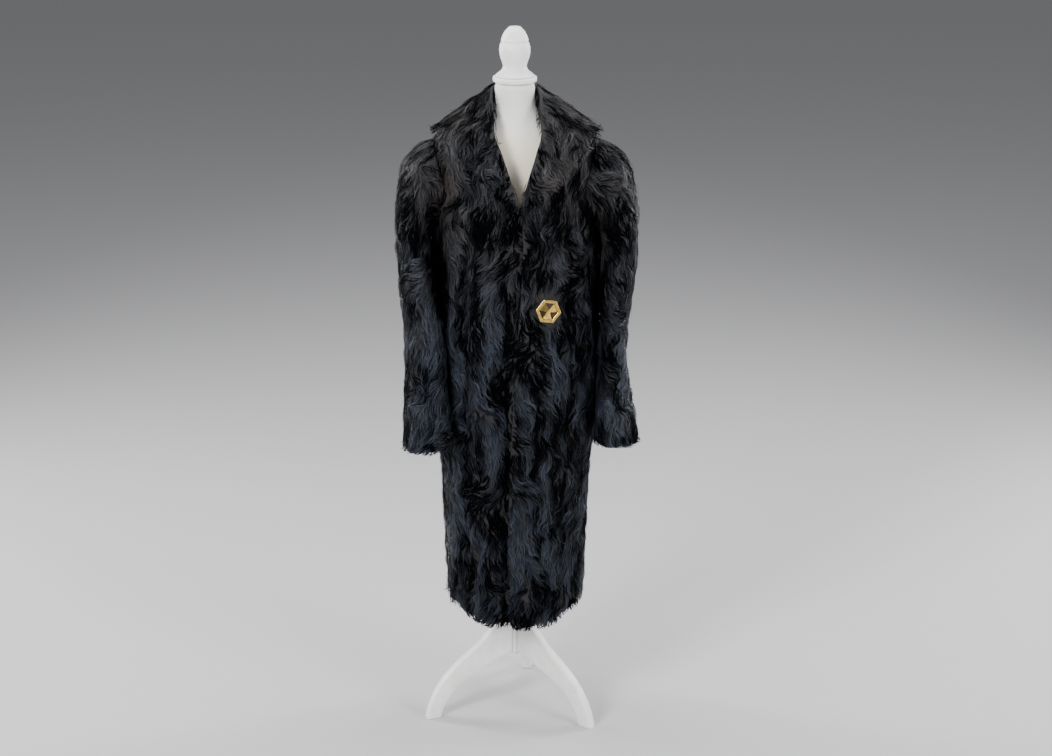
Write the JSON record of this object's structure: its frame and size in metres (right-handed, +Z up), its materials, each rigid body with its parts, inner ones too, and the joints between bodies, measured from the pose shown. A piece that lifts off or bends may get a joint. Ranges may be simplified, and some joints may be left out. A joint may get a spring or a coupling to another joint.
{
  "type": "fur coat on a dress form",
  "caption": "Full-length black curly fur coat with wide wing collar, gathered sleeve heads and a hexagonal gilt button, on a white dress form with a wooden tripod stand.",
  "frame": {"origin": "on the floor, under the middle of the whole object's box", "axes": "+Z up, the front of the coat faces -Y, +X is a viewer's right from the front"},
  "size_m": [0.548, 0.4154, 1.651],
  "materials": {
    "fur": "glossy curly black fur with a blue-grey sheen",
    "gilt": "polished gilt with dark recesses",
    "jersey": "matt cream knitted jersey",
    "white_wood": "brushed white satin paint, lightly worn"
  },
  "bodies": {
    "root": {"back": "fur", "front_left": "fur", "front_right": "fur", "sleeve_left": "fur", "sleeve_right": "fur", "collar": "fur", "button_rim": "gilt", "button_center": "gilt", "form_torso": "jersey", "neck_cap": "white_wood", "finial": "white_wood", "pole": "white_wood", "leg_right": "white_wood", "leg_back": "white_wood", "leg_left": "white_wood"}
  },
  "joints": []
}
